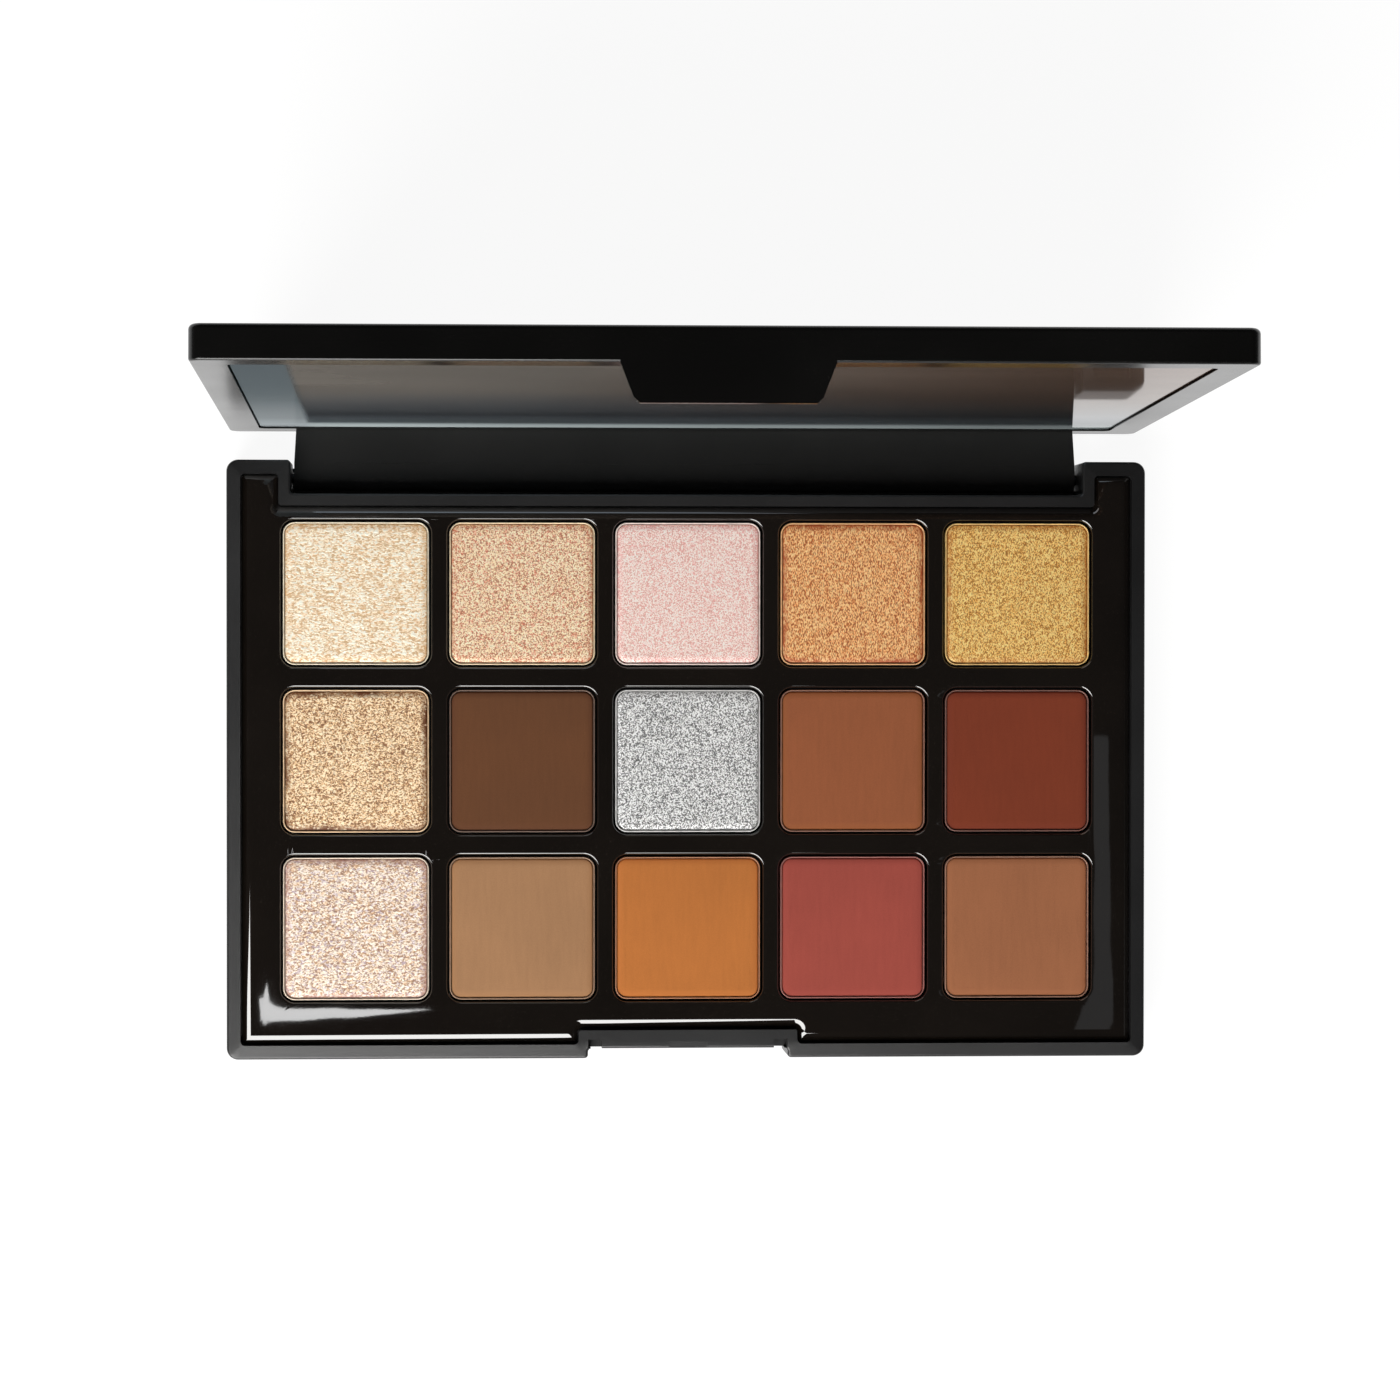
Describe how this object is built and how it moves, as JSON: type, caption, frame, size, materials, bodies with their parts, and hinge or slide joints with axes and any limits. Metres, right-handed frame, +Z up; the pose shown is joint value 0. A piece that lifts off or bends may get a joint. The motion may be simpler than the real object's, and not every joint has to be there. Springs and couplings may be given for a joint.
{
  "type": "mirrored eyeshadow palette",
  "caption": "Flat black case with square pans of pressed eye colour in a glossy tray, and a mirrored lid that swings open on a rear hinge and stands on its edge.",
  "frame": {"origin": "centre of the flat underside of the case, on the table", "axes": "+X to the right along the hinge, +Y from the finger recess towards the hinge, +Z up; the lid is stored open"},
  "size_m": [0.126, 0.0938, 0.0821],
  "materials": {
    "case_plastic": "satin black moulding",
    "tray_plastic": "polished black moulding",
    "lid_plastic": "gloss black moulding",
    "mirror": "polished silvered glass",
    "tape": "white foam adhesive tape",
    "glue": "cured hot glue",
    "pin_steel": "drawn wire",
    "pan_metal": "bright drawn sheet",
    "powder_1_1": "pressed powder, champagne shimmer",
    "powder_1_2": "pressed powder, rose gold shimmer",
    "powder_1_3": "pressed powder, pale pink shimmer",
    "powder_1_4": "pressed powder, copper shimmer",
    "powder_1_5": "pressed powder, yellow gold shimmer",
    "powder_2_1": "pressed powder, tan bronze shimmer",
    "powder_2_2": "pressed powder, dark brown matte",
    "powder_2_3": "pressed powder, silver glitter",
    "powder_2_4": "pressed powder, mid brown matte",
    "powder_2_5": "pressed powder, brick red brown matte",
    "powder_3_1": "pressed powder, iridescent pinkish white shimmer",
    "powder_3_2": "pressed powder, taupe matte",
    "powder_3_3": "pressed powder, ochre orange matte",
    "powder_3_4": "pressed powder, rose red matte",
    "powder_3_5": "pressed powder, caramel brown matte"
  },
  "bodies": {
    "base": {"base_shell": "case_plastic", "pan_tray": "tray_plastic", "pan_glue": "glue", "hinge_pin_left": "pin_steel", "hinge_pin_right": "pin_steel", "pan_row1_col1": "pan_metal", "pan_row1_col2": "pan_metal", "pan_row1_col3": "pan_metal", "pan_row1_col4": "pan_metal", "pan_row1_col5": "pan_metal", "pan_row2_col1": "pan_metal", "pan_row2_col2": "pan_metal", "pan_row2_col3": "pan_metal", "pan_row2_col4": "pan_metal", "pan_row2_col5": "pan_metal", "pan_row3_col1": "pan_metal", "pan_row3_col2": "pan_metal", "pan_row3_col3": "pan_metal", "pan_row3_col4": "pan_metal", "pan_row3_col5": "pan_metal", "powder_row1_col1": "powder_1_1", "powder_row1_col2": "powder_1_2", "powder_row1_col3": "powder_1_3", "powder_row1_col4": "powder_1_4", "powder_row1_col5": "powder_1_5", "powder_row2_col1": "powder_2_1", "powder_row2_col2": "powder_2_2", "powder_row2_col3": "powder_2_3", "powder_row2_col4": "powder_2_4", "powder_row2_col5": "powder_2_5", "powder_row3_col1": "powder_3_1", "powder_row3_col2": "powder_3_2", "powder_row3_col3": "powder_3_3", "powder_row3_col4": "powder_3_4", "powder_row3_col5": "powder_3_5"},
    "lid": {"lid_shell": "lid_plastic", "mirror_glass": "mirror", "mirror_tape": "tape"}
  },
  "joints": [
    {"name": "lid_hinge", "type": "hinge", "parent": "base", "child": "lid", "pos_m": [0, 0.03865, 0.00269], "axis": [1, 0, 0], "range_deg": [0, 92.3]}
  ]
}
